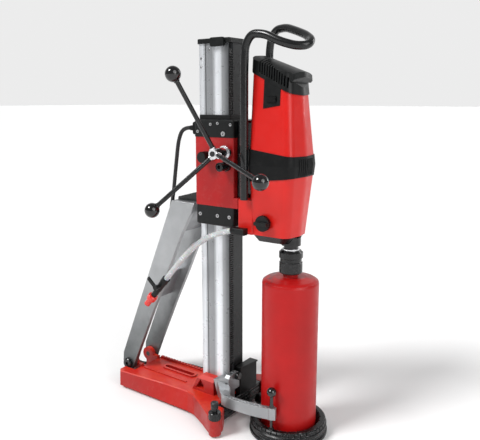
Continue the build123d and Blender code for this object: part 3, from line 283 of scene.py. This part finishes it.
def rail_finish():
    """Drawn aluminium with painted reflection bands along its sides and a painted near-black shade on its front
    face.
    """
    n = surface("drawn_rail", (0.93, 0.94, 0.96), 0.30, metallic=0.4, mottle=0.05,
                rough_spread=0.05, round_edge=0)
    tint = n.shader.inputs["Base Color"].links[0].from_socket
    # Painted reflections: a grey ramp across the rail, from rear edge to front edge, multiplies the colour
    across = n.range(n.height("X"), -0.279, -0.179)
    ramp = n.add("ShaderNodeValToRGB")
    n.link(across, ramp.inputs["Fac"])
    bands = ramp.color_ramp
    bands.elements[0].color = (0.62, 0.63, 0.64, 1)
    bands.elements[1].color = (0.10, 0.105, 0.11, 1)
    for place, grey in RAIL_REFLECTION_BANDS:
        bands.elements.new(place).color = (grey * 0.98, grey, grey * 1.02, 1)
    shade = n.add("ShaderNodeMix", data_type="RGBA", blend_type="MULTIPLY")
    shade.inputs["Factor"].default_value = 1.0
    n.link(tint, shade.inputs[6])
    n.link(ramp.outputs["Color"], shade.inputs[7])
    tint = shade.outputs[2]
    # Painted shade: faces turned to +X are coloured near black, for the shadow between the tool and the rail
    geometry = n.add("ShaderNodeNewGeometry")
    parts = n.add("ShaderNodeSeparateXYZ")
    n.link(geometry.outputs["True Normal"], parts.inputs[0])
    front = n.range(parts.outputs["X"], 0.15, 0.85)
    n.set("Base Color", n.mix(front, tint, (0.012, 0.013, 0.014)))
    n.set("Normal", geometry.outputs["True Normal"])
    return n


def casting_finish():
    """Cast red paint with painted light: upward faces are coloured a brighter, oranger red in mottled patches, and
    the edges carry painted orange highlights.
    """
    n = finish["red_casting"]
    tint = n.shader.inputs["Base Color"].links[0].from_socket
    geometry = n.add("ShaderNodeNewGeometry")
    parts = n.add("ShaderNodeSeparateXYZ")
    n.link(geometry.outputs["Normal"], parts.inputs[0])
    # Painted light from above: faces turned up get the brighter, oranger red
    top = n.range(parts.outputs["Z"], 0.25, 0.85)
    cloud = n.range(n.noise(24.0, 6.0, 0.7), 0.42, 0.70)
    painted_top_light = n.mix(n.math("MULTIPLY", cloud, 0.7), (0.56, 0.014, 0.008), (0.66, 0.060, 0.018))
    n.set("Base Color", n.mix(top, tint, painted_top_light))
    return n


def brace_finish():
    """Cast aluminium that gets darker toward the base, in cloudy patches."""
    n = surface("brace_cast", (0.44, 0.45, 0.46), 0.40, metallic=0.85, grain=(1400, 0.00006), mottle=0.12,
                edge_wear_and_highlight=((0.8, 0.8, 0.82), 0.6))
    tint = n.shader.inputs["Base Color"].links[0].from_socket
    low = n.range(n.height(), 0.42, 0.09)
    cloud = n.range(n.noise(9.0, 5.0, 0.65), 0.25, 0.75, 0.65, 1.0)
    n.set("Base Color", n.mix(n.math("MULTIPLY", low, cloud), tint, (0.085, 0.095, 0.095)))
    return n


def housing_finish():
    """Moulded red with a black well behind the switch."""
    n = surface("housing_red", (0.58, 0.007, 0.004), 0.36, coat=0.12, grain=(2200, 0.00002), mottle=0.06,
                gloss=0.35)
    tint = n.shader.inputs["Base Color"].links[0].from_socket
    places = [v.co for v in nodes["power_switch"].data.vertices]
    well = None
    for axis in "XZ":
        values = [getattr(v, axis.lower()) for v in places]
        low, high = min(values) - 0.002, max(values) + 0.002
        inside = n.math("MULTIPLY", n.range(n.height(axis), low - 0.0003, low),
                        n.range(n.height(axis), high + 0.0003, high))
        well = inside if well is None else n.math("MULTIPLY", well, inside)
    near = n.range(n.height("Y"), -0.02, -0.03)
    well = n.math("MULTIPLY", well, near)
    n.set("Base Color", n.mix(well, tint, (0.004, 0.004, 0.005)))
    return n


def hose_finish():
    """Clear, slightly milky plastic."""
    n = Nodes("clear_hose")
    lines = n.noise(1.0, 3.0, 0.6, (60, 60, 60))
    n.set("Base Color", n.mix(n.range(lines, 0.3, 0.7), (0.58, 0.61, 0.62), (0.78, 0.80, 0.81)))
    n.set("Roughness", n.range(lines, 0.3, 0.7, 0.16, 0.3))
    n.set("Transmission Weight", 0.35)
    n.set("Subsurface Weight", 0.2)
    n.set("IOR", 1.45)
    return n


finish["red_tube"] = core_finish()
finish["clear_hose"] = hose_finish()
finish["drawn_rail"] = rail_finish()
finish["red_casting"] = casting_finish()
finish["brace_cast"] = brace_finish()
finish["housing_red"] = housing_finish()

NODE_FINISH = {"carriage_housing": "red_carriage", "collector_holder": "holder_silver",
               "collector_ring": "ring_rubber", "rail": "drawn_rail", "brace_legs": "brace_cast",
               "motor_housing": "housing_red"}
slot_of = {part["node"]: part["material_slot"] for part in frame["record"]["subparts"]}


def paint(thing, name):
    """Gives the whole piece one finish."""
    thing.data.materials.clear()
    thing.data.materials.append(finish[name].material)


for node_name, node in nodes.items():
    paint(node, NODE_FINISH.get(node_name, slot_of[node_name]))


# The large cap screw of the holder's clamp is black
screws = nodes["stand_screws"].data
screws.materials.append(finish["black_metal"].material)
for polygon in screws.polygons:
    if polygon.center.x > at(66, 0, 0).x and polygon.center.z > 0.105 and polygon.center.y > -0.05:
        polygon.material_index = 1


# ---- Cords

CORD_RADIUS = 5.5
HOSE_RADIUS = 8.0
HOSE_Y = -85.0
HOSE_ROUTE = [(98, 566), (58, 557), (-10, 523), (-66, 474), (-106, 431), (-140, 392)]
GLAND_END = (-71, -46, 828)
CLIP_START = (-180, -28, 530)
COIL_CENTRE = (80, 254)
CORD_ROUTE = [GLAND_END, (-98, -46, 828), (-117, -45, 796), (-127, -43, 745), (-138, -40, 690), (-150, -36, 632),
              (-164, -32, 585), CLIP_START, (-193, -25, 482), (-208, -22, 436), (-228, -21, 388),
              (-253, -21, 328), (-279, -21, 266), (-304, -22, 208), (-330, -22, 152), (-360, -14, 104),
              (-382, 6, 56), (-386, 36, 18), (-372, 76, 5.6), (-330, 116, 5.6), (-270, 140, 5.6),
              (-205, 144, 5.6), (-140, 152, 5.6), (-75, 168, 5.6), (-12, 188, 5.6), (40, 190, 5.6)]
# Each turn of the coil: radius, height of its middle
COIL_TURNS = [(73, 5.8), (61.8, 5.8), (50.5, 5.8), (50.5, 17.2), (61.8, 17.2), (73, 17.2), (73, 28.6),
              (61.8, 28.6), (50.5, 28.6)]
TURN_POINTS = 16


def coil_points():
    """The middle of the cord through every turn of the coil."""
    points = []
    steps = len(COIL_TURNS) * TURN_POINTS
    for step in range(steps):
        turn = step / TURN_POINTS
        here = COIL_TURNS[int(turn)]
        after = COIL_TURNS[min(int(turn) + 1, len(COIL_TURNS) - 1)]
        share = max(0.0, (turn % 1.0) * 4 - 3)
        radius = here[0] + (after[0] - here[0]) * share
        height = here[1] + (after[1] - here[1]) * share
        angle = math.radians(-90) + 2 * math.pi * turn
        points.append((COIL_CENTRE[0] + radius * math.cos(angle), COIL_CENTRE[1] + radius * math.sin(angle), height))
    return points


def spline_curve(name, points, radius):
    """A round tube along a smooth line near the points."""
    data = bpy.data.curves.new(name, "CURVE")
    data.dimensions = "3D"
    data.resolution_u = 8
    spline = data.splines.new("NURBS")
    spline.points.add(len(points) - 1)
    for point, place in zip(spline.points, points):
        point.co = (*place, 1.0)
    spline.order_u = 3
    spline.use_endpoint_u = True
    data.bevel_depth = radius
    data.bevel_resolution = 5
    data.use_fill_caps = True
    thing = bpy.data.objects.new(name, data)
    bpy.context.scene.collection.objects.link(thing)
    return thing


def centreline(curve):
    """Points along a curve's own line."""
    depth = curve.data.bevel_depth
    curve.data.bevel_depth = 0.0
    bpy.context.view_layer.update()
    mesh = bpy.data.meshes.new_from_object(curve.evaluated_get(bpy.context.evaluated_depsgraph_get()))
    points = [v.co.copy() for v in mesh.vertices]
    curve.data.bevel_depth = depth
    bpy.context.view_layer.update()
    return points


def as_mesh(curve):
    """The curve as a mesh object in its place."""
    bpy.context.view_layer.update()
    mesh = bpy.data.meshes.new_from_object(curve.evaluated_get(bpy.context.evaluated_depsgraph_get()))
    name = curve.name
    bpy.data.objects.remove(curve)
    thing = bpy.data.objects.new(name, mesh)
    bpy.context.scene.collection.objects.link(thing)
    for polygon in mesh.polygons:
        polygon.use_smooth = True
    return thing


cord_curve = spline_curve("power_cord_line", [at(*p) for p in CORD_ROUTE + coil_points()], CORD_RADIUS * MM)
cord_path = centreline(cord_curve)
power_cord = as_mesh(cord_curve)
paint(power_cord, "cord_rubber")
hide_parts("power_cord", "power_cord_coil")
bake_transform(power_cord)

hose_curve = spline_curve("water_hose_tube", [at(x, HOSE_Y, z) for x, z in HOSE_ROUTE], HOSE_RADIUS * MM)
hose_path = centreline(hose_curve)
water_hose = as_mesh(hose_curve)
paint(water_hose, "clear_hose")
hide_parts("water_hose")
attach(water_hose, "carriage")


# ---- Floor and light

floor_mesh = bpy.data.meshes.new("floor")
floor_mesh.from_pydata([(-80, -80, 0), (80, -80, 0), (80, 80, 0), (-80, 80, 0)], [], [(0, 1, 2, 3)])
floor = bpy.data.objects.new("floor", floor_mesh)
bpy.context.scene.collection.objects.link(floor)
floor_look = Nodes("floor")
floor_look.set("Base Color", (0.92, 0.92, 0.92, 1.0))
floor_look.set("Roughness", 0.7)
floor.data.materials.append(floor_look.material)

world = bpy.data.worlds.new("studio")
bpy.context.scene.world = world
world.use_nodes = True
# Bright behind the object and dimmer elsewhere, by direction in the row frame
sky = world.node_tree
direction = sky.nodes.new("ShaderNodeTexCoord")
behind = sky.nodes.new("ShaderNodeVectorMath")
behind.operation = "DOT_PRODUCT"
behind.inputs[1].default_value = (-0.58, 0.81, 0.0)
band = sky.nodes.new("ShaderNodeMapRange")
sky.links.new(direction.outputs["Generated"], behind.inputs[0])
sky.links.new(behind.outputs["Value"], band.inputs["Value"])
for socket, number in (("From Min", 0.86), ("From Max", 0.45), ("To Min", 0.84), ("To Max", 0.30)):
    band.inputs[socket].default_value = number
sky.links.new(band.outputs["Result"], sky.nodes["Background"].inputs["Strength"])
sky.nodes["Background"].inputs["Color"].default_value = (1.0, 1.0, 1.0, 1.0)


def area_light(name, location, target, size, power):
    """A rectangular soft light that faces the target."""
    data = bpy.data.lights.new(name, "AREA")
    data.shape = "RECTANGLE"
    data.size, data.size_y = size
    data.energy = power
    light = bpy.data.objects.new(name, data)
    light.location = location
    light.rotation_euler = (Vector(target) - Vector(location)).to_track_quat("-Z", "Y").to_euler()
    bpy.context.scene.collection.objects.link(light)


def sun(name, towards, strength, spread):
    """A distant light that shines from the given direction."""
    data = bpy.data.lights.new(name, "SUN")
    data.energy = strength
    data.angle = math.radians(spread)
    light = bpy.data.objects.new(name, data)
    light.rotation_euler = (-Vector(towards)).to_track_quat("-Z", "Y").to_euler()
    bpy.context.scene.collection.objects.link(light)


MIDDLE = (-0.15, 0.0, 0.5)
sun("key", (-0.45, -0.84, 1.0), 2.65, 20)
sun("fill", (0.95, -0.30, 0.50), 1.15, 45)
area_light("front", (2.6, -0.9, 1.3), MIDDLE, (0.22, 1.9), 6)
area_light("rim", (1.0, 2.6, 1.8), MIDDLE, (0.5, 1.8), 12)
